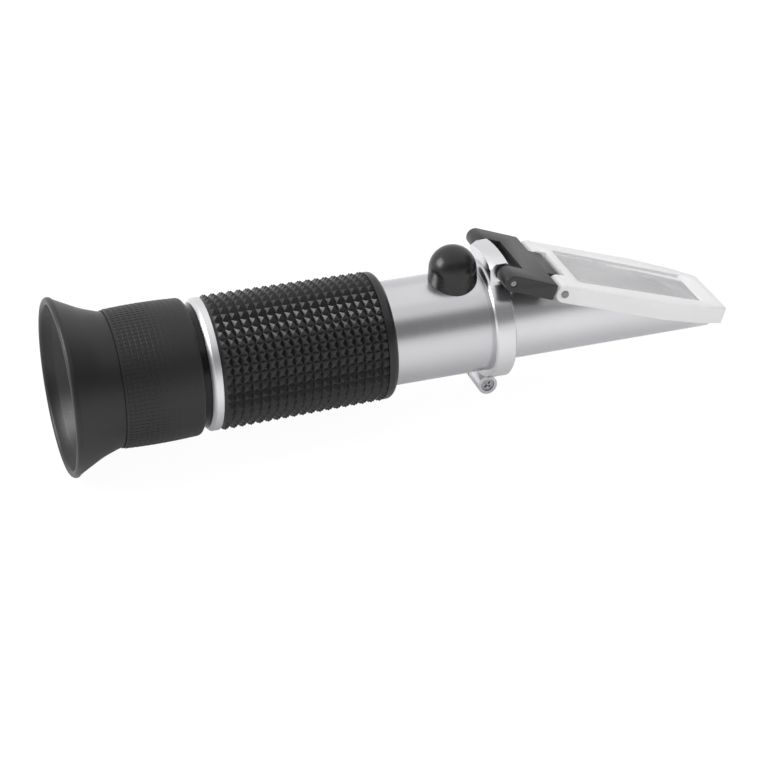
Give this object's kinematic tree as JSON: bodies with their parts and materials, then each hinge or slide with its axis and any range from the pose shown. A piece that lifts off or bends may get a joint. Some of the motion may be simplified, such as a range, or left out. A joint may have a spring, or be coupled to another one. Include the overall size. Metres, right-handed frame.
{
  "type": "handheld refractometer",
  "caption": "Handheld optical refractometer: focusing eyepiece with rubber eyecup, ribbed grip tube, slanted measuring prism under a hinged clear daylight plate.",
  "frame": {"origin": "centre of the eyecup's mouth, on the optical axis, with the eyepiece screwed to its middle setting", "axes": "+X along the optical axis from the eye to the prism, +Z towards the side of the lid and the calibration cap, +Y completes the right-handed set"},
  "size_m": [0.1598, 0.0414, 0.0414],
  "materials": {
    "main_tube": "satin, fine turned lines",
    "end_ring": "satin with a chamfered edge",
    "grip_sleeve": "matt, moulded pyramids",
    "focus_seat": "gloss black",
    "focus_key": "satin",
    "reticle_holder": "black anodised",
    "reticle": "clear, engraved scale",
    "reticle_ring": "black anodised",
    "light_baffle": "matt black",
    "objective_guide": "black anodised",
    "objective_cell": "machined",
    "objective_lens": "polished",
    "objective_ring": "black anodised",
    "calibration_bush": "machined",
    "calibration_screw": "machined, slotted head",
    "calibration_cap": "smooth, slight sheen",
    "prism_housing": "satin",
    "prism_bezel": "satin grey",
    "measuring_prism": "polished, dark inside",
    "hinge_collar": "polished",
    "clamp_screw": "machined, cross recess",
    "hinge_pin": "ground",
    "focus_barrel": "black anodised",
    "focus_sleeve": "matt, fine cross ribs",
    "eyecup": "matt, soft",
    "carrier_ring": "black anodised",
    "lens_cell": "black anodised",
    "eye_lens": "polished, coated",
    "lens_spacer": "black anodised",
    "field_lens": "polished",
    "lens_retainer": "black anodised",
    "hinge_bracket": "satin dark grey, moulded",
    "plate_pin": "ground",
    "daylight_plate": "clear, frosted edges"
  },
  "bodies": {
    "tube": {"main_tube": "main_tube", "end_ring": "end_ring", "grip_sleeve": "grip_sleeve", "focus_seat": "focus_seat", "focus_key": "focus_key", "reticle_holder": "reticle_holder", "reticle": "reticle", "reticle_ring": "reticle_ring", "light_baffle": "light_baffle", "objective_guide": "objective_guide", "calibration_bush": "calibration_bush", "prism_housing": "prism_housing", "prism_bezel": "prism_bezel", "measuring_prism": "measuring_prism", "hinge_collar": "hinge_collar", "clamp_screw": "clamp_screw", "hinge_pin": "hinge_pin"},
    "lens_carrier": {"lens_cell": "lens_cell", "eye_lens": "eye_lens", "lens_spacer": "lens_spacer", "field_lens": "field_lens", "lens_retainer": "lens_retainer"},
    "focus_ring": {"focus_barrel": "focus_barrel", "focus_sleeve": "focus_sleeve", "eyecup": "eyecup", "carrier_ring": "carrier_ring"},
    "objective": {"objective_cell": "objective_cell", "objective_lens": "objective_lens", "objective_ring": "objective_ring"},
    "calibration": {"calibration_screw": "calibration_screw"},
    "cap": {"calibration_cap": "calibration_cap"},
    "bracket": {"hinge_bracket": "hinge_bracket", "plate_pin": "plate_pin"},
    "plate": {"daylight_plate": "daylight_plate"}
  },
  "joints": [
    {"name": "focus_travel", "type": "slide", "parent": "tube", "child": "lens_carrier", "axis": [1, 0, 0], "range_m": [-0.002, 0.0012]},
    {"name": "focus_turn", "type": "hinge", "parent": "lens_carrier", "child": "focus_ring", "pos_m": [0.02, 0, 0], "axis": [1, 0, 0], "range_deg": [-120, 72]},
    {"name": "calibration_turn", "type": "hinge", "parent": "tube", "child": "calibration", "pos_m": [0.0938, 0, 0], "axis": [0, -0.0958, 0.9954], "range_deg": [-360, 360]},
    {"name": "objective_shift", "type": "slide", "parent": "tube", "child": "objective", "axis": [0, -0.0958, 0.9954], "range_m": [-0.0005, 0.0005]},
    {"name": "cap_pull", "type": "slide", "parent": "tube", "child": "cap", "axis": [0, -0.0958, 0.9954], "range_m": [0, 0.012]},
    {"name": "plate_hinge", "type": "hinge", "parent": "tube", "child": "bracket", "pos_m": [0.10445, 0, 0.01455], "axis": [0, -1, 0], "range_deg": [0, 110]},
    {"name": "plate_float", "type": "hinge", "parent": "bracket", "child": "plate", "pos_m": [0.11713, 0, 0.00948], "axis": [0, -1, 0], "range_deg": [0, 5]}
  ],
  "couplings": [
    {"joint": "focus_travel", "follows": "focus_turn", "m_per_rad": 0.000954},
    {"joint": "calibration_turn", "follows": "objective_shift", "rad_per_m": 12560}
  ]
}
